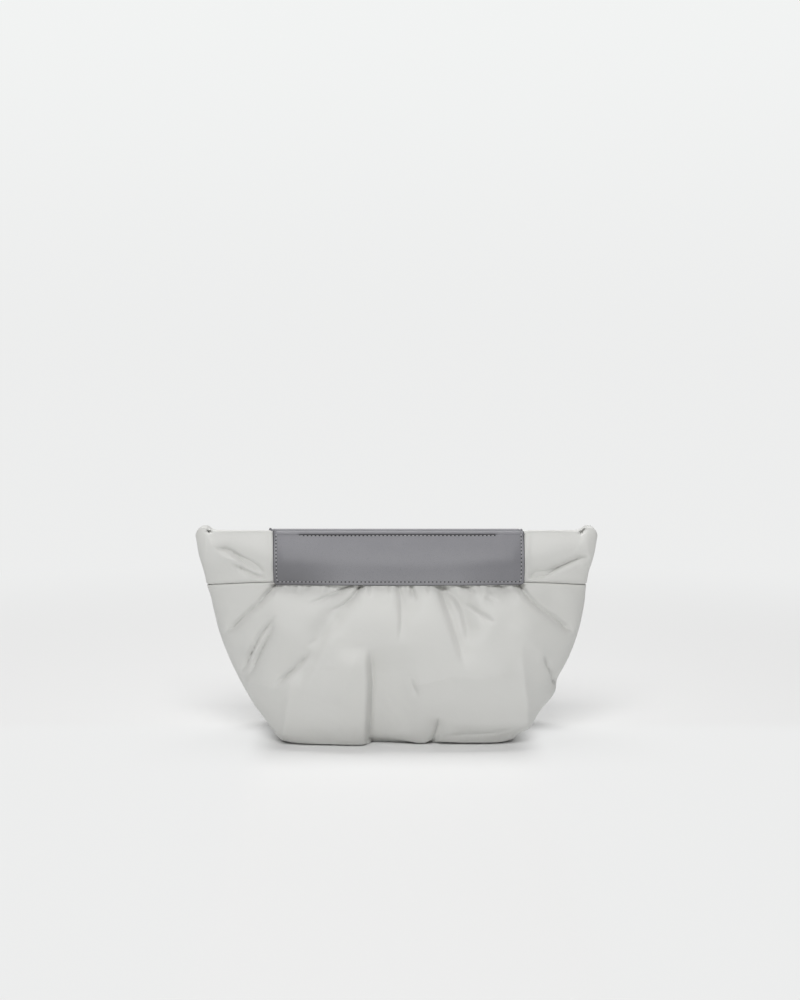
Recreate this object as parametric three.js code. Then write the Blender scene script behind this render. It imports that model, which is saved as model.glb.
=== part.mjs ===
// A soft clutch bag that stands on its base: a hollow, padded cloth body, gathered into a smooth
// band round the mouth, with a leather panel folded over the rim on the front and on the back.
// Millimetres, +Z up, front towards -Y. The origin is on the ground at the centre of the bag's box.
import * as THREE from "three";

// Driving dimensions
const CLOTH_WALL = 3; // padded cloth, as thick as it feels between two fingers
const LEATHER = 1.6;
const SEWN_GAP = 0.3; // clearance between pieces that are sewn together
const SEAM_Z = 114; // the seam between the gathered body and the band, at the middle of the front
const SEAM_DROP = 3.5; // how far the seam falls from there to the ends of the bag
const SEAM_HALF_WIDTH = 142.6;
const SEAM_HALF_DEPTH = 25;
const RIM_Z = 152; // the rim over the leather panels
const CORNER_RISE = 3.8; // how far the rim rises from the panels to the corners
const CORNER_DROP = 5; // how far it falls again round each corner
const CORNER_START = 140; // where, from the middle, the corner starts to fall
const CORNER_END = 150;
const PANEL_HALF_WIDTH = 92;
const PANEL_SHIFT = 2; // the panels sit a little to the right of the middle
const PANEL_CORNER = 3;
const PANEL_INNER_LEG = 12; // how far the leather reaches down inside the mouth

// How finely the surfaces are cut
const COLUMNS = 104; // round the bag
const FRONT_DENSITY = 0.25; // draws the columns towards the front and the back
const BAND_ROWS = 4;
const RIM_STEPS = 4; // round the top of a wall
const PANEL_COLUMNS = 9; // across the straight stretch of a panel
const PANEL_CORNER_TURNS = [0, 0.45, 0.8, 1]; // shares of a rounded corner's width
const PANEL_ROWS = 5;
const PANEL_INNER_ROWS = 2;

const CLOTH = new THREE.MeshStandardMaterial({ color: 0xc6c6c2, roughness: 0.62, metalness: 0 });
const LEATHER_GREY = new THREE.MeshStandardMaterial({ color: 0x7d7d81, roughness: 0.5, metalness: 0 });

// The body's outline, section by section: a rounded oval at each height, squarer towards the base,
// where the bag also leans a little to the right
const BODY_SECTIONS = [
  { z: 0, halfWidth: 90.5, halfDepth: 41, squareness: 3.3, shift: 2.4 },
  { z: 4, halfWidth: 97, halfDepth: 46.5, squareness: 3.2, shift: 2.2 },
  { z: 12, halfWidth: 102.5, halfDepth: 51, squareness: 3.1, shift: 2 },
  { z: 24, halfWidth: 108.5, halfDepth: 53.5, squareness: 3, shift: 2 },
  { z: 40, halfWidth: 117, halfDepth: 54, squareness: 2.8, shift: 2 },
  { z: 60, halfWidth: 127, halfDepth: 51.5, squareness: 2.6, shift: 1.6 },
  { z: 80, halfWidth: 135.5, halfDepth: 46, squareness: 2.45, shift: 0.8 },
  { z: 95, halfWidth: 140, halfDepth: 39, squareness: 2.35, shift: 0.3 },
  { z: 106, halfWidth: 141.5, halfDepth: 32, squareness: 2.3, shift: 0 },
  { z: 111, halfWidth: 142.3, halfDepth: 27.5, squareness: 2.3, shift: 0 },
  { z: SEAM_Z, halfWidth: SEAM_HALF_WIDTH, halfDepth: SEAM_HALF_DEPTH, squareness: 2.3, shift: 0 },
];
const BODY_LEVELS = [0, 2, 6, 12, 20, 28, 36, 44, 52, 60, 68, 76, 84, 91, 98, 104, 108, 111];

// The band's outline, as shares of the way from the seam up to the rim
const BAND_SECTIONS = [
  { z: 0, halfWidth: SEAM_HALF_WIDTH, halfDepth: SEAM_HALF_DEPTH, squareness: 2.3, shift: 0 },
  { z: 0.35, halfWidth: 145.6, halfDepth: 22.2, squareness: 2.5, shift: 0 },
  { z: 0.7, halfWidth: 149, halfDepth: 16, squareness: 3.3, shift: 0 },
  { z: 1, halfWidth: CORNER_END, halfDepth: 9.2, squareness: 6, shift: 0 },
];

// Folds in the cloth, seen from the front: each runs from a start to an end, bowed to the right of
// its path by bow, and is depth deep and about width wide. left and right are the heights of the
// ridges beside it, as shares of its depth, and fade is the share of its length it takes to begin.
const FRONT_FOLDS = [
  { x0: -88, z0: SEAM_Z, x1: -134, z1: 74, bow: -3, width: 10, depth: 4.6, left: 0.3, right: 0.6, fade: 0 },
  { x0: -82, z0: 97, x1: -119, z1: 42, bow: 2, width: 11, depth: 4.2, left: 0.4, right: 0.5, fade: 0.3 },
  { x0: -27, z0: SEAM_Z, x1: -60, z1: 86, bow: -2, width: 10, depth: 4, left: 0.3, right: 0.5, fade: 0 },
  { x0: -38, z0: 92, x1: -68, z1: 40, bow: -1, width: 11, depth: 3.6, left: 0.5, right: 0.4, fade: 0.3 },
  { x0: -60, z0: 72, x1: -98, z1: 26, bow: 0, width: 11, depth: 3.6, left: 0.6, right: 0.3, fade: 0.3 },
  { x0: -20, z0: 74, x1: -18, z1: -30, bow: 3, width: 12, depth: 6, left: 0.6, right: 0.1, fade: 0.45 },
  { x0: 1, z0: SEAM_Z, x1: 3, z1: 66, bow: 0, width: 9, depth: 2.8, left: 0.4, right: 0.4, fade: 0 },
  { x0: 27, z0: SEAM_Z, x1: 49, z1: 38, bow: -2, width: 10, depth: 4.4, left: 0.4, right: 0.3, fade: 0 },
  { x0: 41, z0: SEAM_Z, x1: 68, z1: 60, bow: 3, width: 10, depth: 4, left: 0.3, right: 0.4, fade: 0 },
  { x0: 62, z0: 104, x1: 104, z1: 78, bow: 0, width: 10, depth: 3, left: 0.4, right: 0.4, fade: 0.3 },
  { x0: 92, z0: SEAM_Z, x1: 137, z1: 74, bow: 3, width: 10, depth: 4.6, left: 0.6, right: 0.3, fade: 0 },
  { x0: 101, z0: 78, x1: 122, z1: 28, bow: 1, width: 11, depth: 4, left: 0.5, right: 0.4, fade: 0.3 },
  { x0: 34, z0: 34, x1: 26, z1: -16, bow: 0, width: 9, depth: 4, left: 0.3, right: 0.4, fade: 0.45 },
];
const BACK_FOLDS = [
  { x0: -91, z0: SEAM_Z, x1: -136, z1: 74, bow: -3, width: 10, depth: 4.6, left: 0.3, right: 0.6, fade: 0 },
  { x0: -98, z0: 82, x1: -120, z1: 30, bow: -1, width: 11, depth: 4, left: 0.4, right: 0.5, fade: 0.3 },
  { x0: -50, z0: SEAM_Z, x1: -74, z1: 50, bow: -2, width: 10, depth: 4.4, left: 0.4, right: 0.4, fade: 0 },
  { x0: -18, z0: SEAM_Z, x1: -29, z1: 58, bow: 1, width: 10, depth: 3.6, left: 0.4, right: 0.3, fade: 0 },
  { x0: 9, z0: SEAM_Z, x1: 13, z1: 70, bow: 0, width: 9, depth: 2.8, left: 0.4, right: 0.4, fade: 0 },
  { x0: 39, z0: SEAM_Z, x1: 67, z1: 46, bow: 2, width: 10, depth: 4.4, left: 0.4, right: 0.4, fade: 0 },
  { x0: 89, z0: SEAM_Z, x1: 134, z1: 74, bow: 3, width: 10, depth: 4.6, left: 0.6, right: 0.3, fade: 0 },
  { x0: 80, z0: 95, x1: 117, z1: 40, bow: -1, width: 11, depth: 4, left: 0.5, right: 0.4, fade: 0.3 },
  { x0: 18, z0: 68, x1: 22, z1: -28, bow: -2, width: 12, depth: 5.4, left: 0.1, right: 0.6, fade: 0.45 },
  { x0: -37, z0: 34, x1: -28, z1: -16, bow: 0, width: 9, depth: 4, left: 0.4, right: 0.3, fade: 0.45 },
];
const FRONT_BAND_FOLDS = [
  { x0: -142, z0: 144, x1: -90, z1: 118, bow: -1, width: 9, depth: 2.4, left: 0.3, right: 0.5, fade: 0.3 },
  { x0: 145, z0: 134, x1: 94, z1: 115, bow: 1, width: 9, depth: 2.4, left: 0.5, right: 0.3, fade: 0.3 },
];
const BACK_BAND_FOLDS = [
  { x0: -144, z0: 133, x1: -92, z1: 115, bow: -1, width: 9, depth: 2.4, left: 0.3, right: 0.5, fade: 0.3 },
  { x0: 142, z0: 143, x1: 92, z1: 119, bow: 1, width: 9, depth: 2.4, left: 0.5, right: 0.3, fade: 0.3 },
];
const FOLD_FADE_OUT = 0.45; // the share of a fold's length over which it dies away
const FOLD_MOUTH = 0.75; // how narrow a fold starts, as a share of its width
const FOLD_PROFILE = { groove: 0.6, ridge: 0.8 }; // how wide a groove and its ridges are, against its width
const FOLD_LIMIT = 5.5; // where folds meet, they move the cloth no further than this
const SEAM_PINCH = 6; // the seam holds the folds flat, down to this far below it
// Small pleats under the panels, which wander a little from an even pitch
const GATHERS = {
  pitch: 19,
  depth: 1.4,
  reach: 26,
  fullWidth: 70,
  halfWidth: 92,
  wander: 2.5,
  wanderPitch: 107,
};
// Folds die away where the cloth turns to the ends of the bag, and beside the panels
const BODY_FACING = { none: 0.05, full: 0.45 };
const BAND_FACING = { none: 0.1, full: 0.6 };
const PANEL_HOLD = { none: 1, full: 9 };

// A table's column as a smooth curve over its z
function smoothColumn(table, name) {
  const heights = table.map((row) => row.z);
  const values = table.map((row) => row[name]);
  const curve = new THREE.CubicInterpolant(heights, values, 1);
  return (z) => curve.evaluate(z)[0];
}

function outline(table) {
  const halfWidth = smoothColumn(table, "halfWidth");
  const halfDepth = smoothColumn(table, "halfDepth");
  const squareness = smoothColumn(table, "squareness");
  const shift = smoothColumn(table, "shift");
  return (z) => ({ a: halfWidth(z), b: halfDepth(z), n: squareness(z), shift: shift(z) });
}

const bodyOutline = outline(BODY_SECTIONS);
const bandOutline = outline(BAND_SECTIONS);
const { lerp, smoothstep } = THREE.MathUtils;

// A point on a rounded oval, and the way out from it in plan
function ovalPoint({ a, b, n, shift }, turn) {
  const c = Math.cos(turn);
  const s = Math.sin(turn);
  const k = Math.pow(Math.pow(Math.abs(c), n) + Math.pow(Math.abs(s), n), 1 / n);
  const x = (a * c) / k;
  const y = (b * s) / k;
  const out = new THREE.Vector2(
    (Math.sign(x) * Math.pow(Math.abs(x / a), n - 1)) / a,
    (Math.sign(y) * Math.pow(Math.abs(y / b), n - 1)) / b,
  ).normalize();
  return { x: x + shift, y, out };
}

function ovalDepth({ a, b, n, shift }, x) {
  return b * Math.pow(1 - Math.pow(Math.abs((x - shift) / a), n), 1 / n);
}

function columnTurn(column) {
  const even = (column / COLUMNS) * 2 * Math.PI;
  return even + FRONT_DENSITY * Math.sin(2 * even);
}

// How far one fold moves the cloth in or out at a point seen from the front
function foldOffset(fold, x, z) {
  const dx = fold.x1 - fold.x0;
  const dz = fold.z1 - fold.z0;
  const length = Math.hypot(dx, dz);
  const along = ((x - fold.x0) * dx + (z - fold.z0) * dz) / (length * length);
  const share = THREE.MathUtils.clamp(along, 0, 1);
  const bow = fold.bow * 4 * share * (1 - share);
  const across = ((z - fold.z0) * dx - (x - fold.x0) * dz) / length - bow;
  const width = fold.width * lerp(FOLD_MOUTH, 1, share);
  const beyond = ((along - share) * length) / width;
  const begin = fold.fade > 0 ? smoothstep(share, 0, fold.fade) : 1;
  const strength = begin * (1 - smoothstep(share, 1 - FOLD_FADE_OUT, 1)) * Math.exp(-beyond * beyond);
  const bump = (centre, spread) => Math.exp(-Math.pow((across / width - centre) / spread, 2));
  const ridges = fold.left * bump(-1, FOLD_PROFILE.ridge) + fold.right * bump(1, FOLD_PROFILE.ridge);
  return fold.depth * strength * (ridges - bump(0, FOLD_PROFILE.groove));
}

function gatherOffset(x, z) {
  const { pitch, depth, reach, fullWidth, halfWidth, wander, wanderPitch } = GATHERS;
  const wave = (distance, length) => Math.sin((distance / length) * 2 * Math.PI);
  const down = 1 - smoothstep(SEAM_Z - z, 0, reach);
  const across = 1 - smoothstep(Math.abs(x), fullWidth, halfWidth);
  return depth * down * across * wave(x + wander * wave(x, wanderPitch), pitch);
}

function bodyOffset(x, z, out) {
  const folds = out.y < 0 ? FRONT_FOLDS : BACK_FOLDS;
  const facing = smoothstep(Math.abs(out.y), BODY_FACING.none, BODY_FACING.full);
  const pinch = smoothstep(SEAM_Z - z, 0, SEAM_PINCH);
  const sum = folds.reduce((total, fold) => total + foldOffset(fold, x, z), gatherOffset(x, z));
  return FOLD_LIMIT * Math.tanh(sum / FOLD_LIMIT) * facing * pinch;
}

function bandOffset(x, z, out) {
  const folds = out.y < 0 ? FRONT_BAND_FOLDS : BACK_BAND_FOLDS;
  const facing = smoothstep(Math.abs(out.y), BAND_FACING.none, BAND_FACING.full);
  const fromPanel = Math.abs(x - PANEL_SHIFT) - PANEL_HALF_WIDTH;
  const clearOfPanel = smoothstep(fromPanel, PANEL_HOLD.none, PANEL_HOLD.full);
  const held = smoothstep(z - SEAM_Z, 0, SEAM_PINCH) * smoothstep(RIM_Z - z, 0, SEAM_PINCH);
  const sum = folds.reduce((total, fold) => total + foldOffset(fold, x, z), 0);
  return sum * facing * clearOfPanel * held;
}

// How far the seam has fallen at a place across the bag
function seamFall(x) {
  return SEAM_DROP * Math.pow(x / SEAM_HALF_WIDTH, 2);
}

// One ring of body wall, level on the base and falling with the seam higher up, set in by inset
function bodyRing(z, inset) {
  const lift = Math.pow(z / SEAM_Z, 2);
  return Array.from({ length: COLUMNS }, (_, column) => {
    const { x, y, out } = ovalPoint(bodyOutline(z), columnTurn(column));
    const offset = bodyOffset(x, z, out) - inset;
    return new THREE.Vector3(x + out.x * offset, y + out.y * offset, z - lift * seamFall(x));
  });
}

function rimHeight(x) {
  const rise = CORNER_RISE * smoothstep(Math.abs(x), PANEL_HALF_WIDTH, CORNER_START);
  const round = Math.max(0, (Math.abs(x) - CORNER_START) / (CORNER_END - CORNER_START));
  return RIM_Z + rise - CORNER_DROP * round * round;
}

// The height where the band's wall starts, above the seam
function bandFoot(x) {
  return SEAM_Z - seamFall(x) + SEWN_GAP;
}

// The height where the flat of the band's wall ends and the round of its rim begins
function bandTop(x) {
  return rimHeight(x) - CLOTH_WALL / 2;
}

// One ring of band wall, a share of the way up, set in from the outside by inset
function bandRing(share, inset) {
  return Array.from({ length: COLUMNS }, (_, column) => {
    const turn = columnTurn(column);
    const foot = ovalPoint(bandOutline(0), turn);
    const rim = ovalPoint(bandOutline(1), turn);
    const { x, y, out } = ovalPoint(bandOutline(share), turn);
    const z = lerp(bandFoot(foot.x), bandTop(rim.x), share);
    const offset = bandOffset(x, z, out) - inset;
    return new THREE.Vector3(x + out.x * offset, y + out.y * offset, z);
  });
}

// Joins rings of equal length into triangles; ringLoop says that the last ring meets the first. Each
// quad is split the way the folds run, down and away from the middle, on the outside and the inside
// alike, so that a wall keeps its thickness through a fold.
function ringTriangles(rings, ringLoop) {
  const size = rings[0].length;
  const points = rings.flat();
  const triangles = [];
  const bands = ringLoop ? rings.length : rings.length - 1;
  for (let r = 0; r < bands; r++) {
    const low = r * size;
    const high = ((r + 1) % rings.length) * size;
    for (let i = 0; i < size; i++) {
      const next = (i + 1) % size;
      const [a, b, c, d] = [low + i, low + next, high + next, high + i];
      const lean = points[a].x * points[a].y * (points[d].z - points[a].z);
      triangles.push(...(lean > 0 ? [a, b, c, a, c, d] : [a, b, d, b, c, d]));
    }
  }
  return triangles;
}

function meshOf(name, points, triangles, material) {
  const geometry = new THREE.BufferGeometry().setFromPoints(points);
  geometry.setIndex(triangles);
  geometry.computeVertexNormals();
  const mesh = new THREE.Mesh(geometry, material);
  mesh.name = name;
  return mesh;
}

// The body: out along the base, up the outside, over the sewn edge, down the inside to the floor
function gatheredBody() {
  const outer = [...BODY_LEVELS, SEAM_Z].map((z) => bodyRing(z, 0));
  const innerLevels = [SEAM_Z, ...BODY_LEVELS.filter((z) => z > CLOTH_WALL).reverse(), CLOTH_WALL];
  const inner = innerLevels.map((z) => bodyRing(z, CLOTH_WALL));
  const rings = [...outer, ...inner];
  const points = rings.flat();
  const triangles = ringTriangles(rings, false);
  const under = points.push(new THREE.Vector3(0, 0, 0)) - 1;
  const inside = points.push(new THREE.Vector3(0, 0, CLOTH_WALL)) - 1;
  const last = (rings.length - 1) * COLUMNS;
  for (let i = 0; i < COLUMNS; i++) {
    const next = (i + 1) % COLUMNS;
    triangles.push(under, next, i, inside, last + i, last + next);
  }
  return meshOf("gathered_body", points, triangles, CLOTH);
}

// The band: up the outside, round the rim, down the inside, and back across the sewn edge
function yokeBand() {
  const shares = Array.from({ length: BAND_ROWS + 1 }, (_, row) => row / BAND_ROWS);
  const outer = shares.map((share) => bandRing(share, 0));
  const inner = shares.map((share) => bandRing(share, CLOTH_WALL)).reverse();
  const rim = [];
  for (let step = 1; step < RIM_STEPS; step++) {
    const angle = (step / RIM_STEPS) * Math.PI;
    const across = (1 - Math.cos(angle)) / 2;
    const lift = (Math.sin(angle) * CLOTH_WALL) / 2;
    rim.push(
      outer.at(-1).map((point, i) => {
        const top = point.clone().lerp(inner[0][i], across);
        return top.setZ(point.z + lift);
      }),
    );
  }
  const rings = [...outer, ...rim, ...inner];
  return meshOf("yoke_band", rings.flat(), ringTriangles(rings, true), CLOTH);
}

// The path of a panel's leather at one place across: from its lower edge outside, up over the rim and
// down inside, as points on the cloth with the way out from it
function panelPath(x) {
  const fromEdge = PANEL_HALF_WIDTH - Math.abs(x - PANEL_SHIFT);
  const round = Math.max(0, 1 - fromEdge / PANEL_CORNER);
  const bottom = SEAM_Z + SEWN_GAP + PANEL_CORNER * (1 - Math.sqrt(1 - round * round));
  const top = bandTop(x);
  const foot = bandFoot(x);
  const depthAt = (z) => ovalDepth(bandOutline((z - foot) / (top - foot)), x);
  const path = [];
  for (let row = 0; row < PANEL_ROWS; row++) {
    const z = lerp(bottom, top, row / PANEL_ROWS);
    path.push({ x, depth: depthAt(z), z, outDepth: 1, outZ: 0 });
  }
  const middle = depthAt(top) - CLOTH_WALL / 2;
  for (let step = 0; step <= RIM_STEPS; step++) {
    const angle = (step / RIM_STEPS) * Math.PI;
    const outDepth = Math.cos(angle);
    const outZ = Math.sin(angle);
    path.push({
      x,
      depth: middle + (outDepth * CLOTH_WALL) / 2,
      z: top + (outZ * CLOTH_WALL) / 2,
      outDepth,
      outZ,
    });
  }
  for (let row = 1; row <= PANEL_INNER_ROWS; row++) {
    const z = top - (PANEL_INNER_LEG * row) / PANEL_INNER_ROWS;
    path.push({ x, depth: depthAt(z) - CLOTH_WALL, z, outDepth: -1, outZ: 0 });
  }
  return path;
}

function panelColumns() {
  const straight = PANEL_HALF_WIDTH - PANEL_CORNER;
  const across = (i) => lerp(-straight, straight, (i + 1) / PANEL_COLUMNS);
  const middle = Array.from({ length: PANEL_COLUMNS - 1 }, (_, i) => across(i));
  const corner = PANEL_CORNER_TURNS.map((share) => straight + PANEL_CORNER * share);
  return [...corner.map((x) => -x).reverse(), ...middle, ...corner].map((x) => x + PANEL_SHIFT);
}

// side is -1 for the front panel and 1 for the back one
function leatherPanel(name, side) {
  const rings = panelColumns().map((x) => {
    const path = panelPath(x);
    const layer = (away) =>
      path.map((p) => new THREE.Vector3(p.x, side * (p.depth + p.outDepth * away), p.z + p.outZ * away));
    return [...layer(SEWN_GAP), ...layer(SEWN_GAP + LEATHER).reverse()];
  });
  const size = rings[0].length;
  const triangles = ringTriangles(rings, false);
  const last = (rings.length - 1) * size;
  for (let i = 0; i < size / 2 - 1; i++) {
    const [a, b, c, d] = [i, i + 1, size - 2 - i, size - 1 - i];
    triangles.push(a, d, c, a, c, b);
    triangles.push(last + a, last + c, last + d, last + a, last + b, last + c);
  }
  if (side > 0) triangles.reverse();
  return meshOf(name, rings.flat(), triangles, LEATHER_GREY);
}

const bag = new THREE.Group();
bag.add(gatheredBody(), yokeBand(), leatherPanel("front_panel", -1), leatherPanel("back_panel", 1));

export default bag;
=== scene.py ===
# %% [markdown]
# # A soft clutch bag, dressed around its solids
# The bag has four parts: a padded cloth body that is gathered into a smooth cloth band, and two leather
# panels that fold over the rim of the mouth. The solids give their places and sizes, and this lesson
# makes the cloth, the leather and the thread that stand for them. Lengths are in millimetres while we
# work out a shape, and become metres when it turns into a mesh.

# %% Load the solids and keep their box
import math

import bpy
import numpy as np
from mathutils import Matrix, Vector


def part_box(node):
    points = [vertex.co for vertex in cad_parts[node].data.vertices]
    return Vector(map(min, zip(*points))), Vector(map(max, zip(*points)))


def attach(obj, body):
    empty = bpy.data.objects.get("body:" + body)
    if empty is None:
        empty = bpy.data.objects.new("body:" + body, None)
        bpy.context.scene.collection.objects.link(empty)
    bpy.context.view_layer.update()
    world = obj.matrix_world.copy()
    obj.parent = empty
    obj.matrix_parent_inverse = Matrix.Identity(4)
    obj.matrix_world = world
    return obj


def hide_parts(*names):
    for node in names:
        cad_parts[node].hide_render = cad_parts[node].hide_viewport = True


MM = 0.001
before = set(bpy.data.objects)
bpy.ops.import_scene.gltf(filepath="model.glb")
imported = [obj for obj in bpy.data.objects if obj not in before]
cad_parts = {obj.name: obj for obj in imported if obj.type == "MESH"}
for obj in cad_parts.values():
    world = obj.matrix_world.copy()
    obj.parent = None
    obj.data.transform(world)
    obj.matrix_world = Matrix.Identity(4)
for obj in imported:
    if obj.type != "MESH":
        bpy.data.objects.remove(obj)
scene = bpy.context.scene
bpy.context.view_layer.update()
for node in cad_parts:
    low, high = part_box(node)
    print(node, "from", [round(v / MM, 1) for v in low], "to", [round(v / MM, 1) for v in high])

# %% [markdown]
# ## Camera
# The photograph was taken with a long lens from a little above the bag, so its upright lines stay
# upright. The lens and the tilt were fitted to the corners of the solids once, and are plain numbers
# here. The sensor's width counts along the picture's longer side.

# %% Camera
def add_object(name, data):
    made = bpy.data.objects.new(name, data)
    scene.collection.objects.link(made)
    return made


camera_data = bpy.data.cameras.new("photo_camera")
camera_data.lens = 62.82
camera_data.sensor_width = 36
camera = add_object("photo_camera", camera_data)
camera.location = (0.0026, -1.3, 0.29)
camera.rotation_euler = (math.radians(90 - 5.05), 0, 0)
scene.camera = camera
print("camera", [round(v, 3) for v in camera.location], "lens", camera_data.lens)

# %% [markdown]
# ## Shader maths as Python
# A material is a tree of nodes. Wiring dozens of Math nodes by hand hides the idea, so this small class
# wraps one socket: adding or multiplying two of them adds the Math node that does it. Every other kind
# of node comes from `make`, and every finish starts from Object coordinates.

# %% A socket that can be used in a sum
class Field:
    def __init__(self, tree, socket=None):
        self.tree = tree
        self.socket = socket

    def make(self, kind, settings=None, sockets=None, output=0):
        node = self.tree.nodes.new(kind)
        for name, value in (settings or {}).items():
            setattr(node, name, value)
        for key, value in (sockets or {}).items():
            if isinstance(value, Field):
                self.tree.links.new(value.socket, node.inputs[key])
            else:
                node.inputs[key].default_value = value
        return Field(self.tree, node.outputs[output])

    def math(self, operation, *others):
        return self.make("ShaderNodeMath", {"operation": operation}, dict(enumerate((self, *others))))

    def __add__(self, other):
        return self.math("ADD", other)

    def __sub__(self, other):
        return self.math("SUBTRACT", other)

    def __mul__(self, other):
        return self.math("MULTIPLY", other)

    def __rsub__(self, other):
        return self.make("ShaderNodeMath", {"operation": "SUBTRACT"}, {0: other, 1: self})

    def ease(self, low, high):
        settings = {"interpolation_type": "SMOOTHSTEP"}
        return self.make("ShaderNodeMapRange", settings, {"Value": self, "From Min": low, "From Max": high})

    def mix(self, first, second):
        sockets = {"Factor": self, 6: first, 7: second}
        return self.make("ShaderNodeMix", {"data_type": "RGBA"}, sockets, 2)

    def part(self, axis):
        return self.make("ShaderNodeSeparateXYZ", None, {0: self}, axis)

    def noise(self, scale, detail=2.0, roughness=0.5):
        sockets = {"Vector": self, "Scale": scale, "Detail": detail, "Roughness": roughness}
        return self.make("ShaderNodeTexNoise", None, sockets)

    def bump(self, strength, distance, below=None):
        sockets = {"Height": self, "Strength": strength, "Distance": distance}
        if below is not None:
            sockets["Normal"] = below
        return self.make("ShaderNodeBump", None, sockets)


def new_finish(name, **constants):
    material = bpy.data.materials.new(name)
    material.use_nodes = True
    shader = material.node_tree.nodes["Principled BSDF"]
    for socket, value in constants.items():
        shader.inputs[socket.replace("_", " ")].default_value = value
    place = Field(material.node_tree).make("ShaderNodeTexCoord", output="Object")
    return material, place, shader


def feed(shader, **fields):
    for socket, field in fields.items():
        field.tree.links.new(field.socket, shader.inputs[socket.replace("_", " ")])


# %% [markdown]
# ## Cloth
# The cloth is a plain woven nylon, light grey and a little warm, soft to the light but with a faint sheen.
# The weave follows the cloth, so it reads the pieces' own UV map, which holds metres along the two
# threads. Broader patches of tone, and the small crumples that a light nylon always has, read Object
# coordinates.

# %% Cloth
THREAD_PITCH = 0.45 * MM
UV_NAME = "threads"


def cloth_finish():
    material, place, shader = new_finish("padded_nylon", Sheen_Weight=0.12, Sheen_Roughness=0.45)
    threads = place.make("ShaderNodeUVMap", {"uv_map": UV_NAME})
    warp, weft = ((threads.part(i) * (2 * math.pi / THREAD_PITCH)).math("SINE") for i in (0, 1))
    weave = warp * weft
    patches = place.noise(14, 3).ease(0.3, 0.7)
    crumple = place.noise(70, 4, 0.55)
    tone = patches.mix((0.676, 0.675, 0.648, 1), (0.704, 0.704, 0.682, 1))
    tone = (weave * 0.5 + 0.5).mix(tone, (0.69, 0.69, 0.666, 1))
    normal = weave.bump(0.12, 0.08 * MM, crumple.bump(0.22, 1.4 * MM))
    feed(shader, Base_Color=tone, Roughness=patches * 0.08 + 0.52, Normal=normal)
    return material


CLOTH = cloth_finish()
print("cloth", len(CLOTH.node_tree.nodes), "nodes")

# %% [markdown]
# ## Leather
# The panels are smooth grey calf leather. Close up it has a fine grain of rounded cells with creases
# between them, which a Voronoi texture gives. The tone wanders a little. Low down, painted light makes the
# middle paler and painted shade makes the left darker. Its creases are a touch darker and rougher. The
# cut edges are painted dark, and the line pressed under the rim is darkened with painted shade: the mesh
# will carry the distance from both as an attribute, which the material reads.

# %% Leather
GRAIN = 1 / (0.9 * MM)
# the mesh's distance from the painted cut edges and from the painted shade of the pressed line
EDGE_PAINT_AND_SHADE_NAME = "from_cut"
PAINTED_TONE_FADE = (0.112, 0.145)  # the painted light and the painted shade low down fade out between these heights, in metres
PAINTED_LIGHT_MIDDLE = 0.003


def leather_finish():
    material, place, shader = new_finish("grey_leather", Coat_Roughness=0.45, IOR=1.45)
    sockets = {"Vector": place, "Scale": GRAIN}
    cells = place.make("ShaderNodeTexVoronoi", {"feature": "DISTANCE_TO_EDGE"}, sockets)
    crease = 1 - cells.ease(0.0, 0.12)
    patches = place.noise(22, 4, 0.6).ease(0.3, 0.7)
    pores = place.noise(900, 2)
    tone = patches.mix((0.22, 0.219, 0.237, 1), (0.249, 0.248, 0.266, 1))
    low_down = 1 - place.part(2).ease(*PAINTED_TONE_FADE)
    # painted shade: darker towards the lower left
    held = (0 - place.part(0)).ease(0.03, 0.09) * low_down
    # painted light: paler in the middle, low down
    painted_light = (1 - (place.part(0) - PAINTED_LIGHT_MIDDLE).math("ABSOLUTE").ease(0.035, 0.08)) * low_down
    tone = (painted_light * 0.9).mix(tone, (0.31, 0.309, 0.327, 1))
    tone = (held * 0.7).mix(tone, (0.13, 0.13, 0.136, 1))
    tone = (crease * 0.35).mix(tone, (0.17, 0.17, 0.18, 1))
    # The cut edges carry real dark edge paint; the dark line pressed under the rim is painted shade.
    from_cut = place.make("ShaderNodeAttribute", {"attribute_name": EDGE_PAINT_AND_SHADE_NAME}, None, "Fac")
    painted = 1 - from_cut.ease(0.4 * MM, 0.8 * MM)
    tone = (painted * 0.8).mix(tone, (0.055, 0.055, 0.058, 1))
    height = cells.ease(0.0, 0.3) + pores * 0.3
    feed(shader, Base_Color=tone, Roughness=patches * 0.08 + crease * 0.1 + 0.42)
    feed(shader, Normal=height.bump(0.12, 0.12 * MM), Coat_Weight=patches * 0.06 + 0.04)
    return material


LEATHER = leather_finish()
print("leather", len(LEATHER.node_tree.nodes), "nodes")

# %% [markdown]
# ## Thread
# The panels are sewn with a waxed thread close to the leather's own grey. Its two plies twist round
# each other, which a wave along the stitch shows. The needle holes are not cut: dark pills of painted
# shade stand for them.

# %% Thread, and the painted shade of the needle holes
def thread_finish():
    material, place, shader = new_finish("waxed_thread", Sheen_Weight=0.2)
    settings = {"wave_type": "BANDS", "bands_direction": "DIAGONAL"}
    plies = place.make("ShaderNodeTexWave", settings, {"Vector": place, "Scale": 700.0}, 1)
    tone = plies.mix((0.36, 0.36, 0.37, 1), (0.52, 0.52, 0.53, 1))
    feed(shader, Base_Color=tone, Roughness=plies * 0.1 + 0.5, Normal=plies.bump(0.3, 0.1 * MM))
    return material


# painted shade: a near-black finish for the pills that stand in for the needle holes
def hole_shade_finish():
    material, place, shader = new_finish("hole_shade_pill", Specular_IOR_Level=0.1)
    tone = place.noise(400).mix((0.03, 0.03, 0.032, 1), (0.06, 0.06, 0.063, 1))
    feed(shader, Base_Color=tone, Roughness=place.noise(300) * 0.2 + 0.7)
    return material


THREAD = thread_finish()
HOLE_SHADE = hole_shade_finish()
print("thread and holes", THREAD.name, HOLE_SHADE.name)

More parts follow.
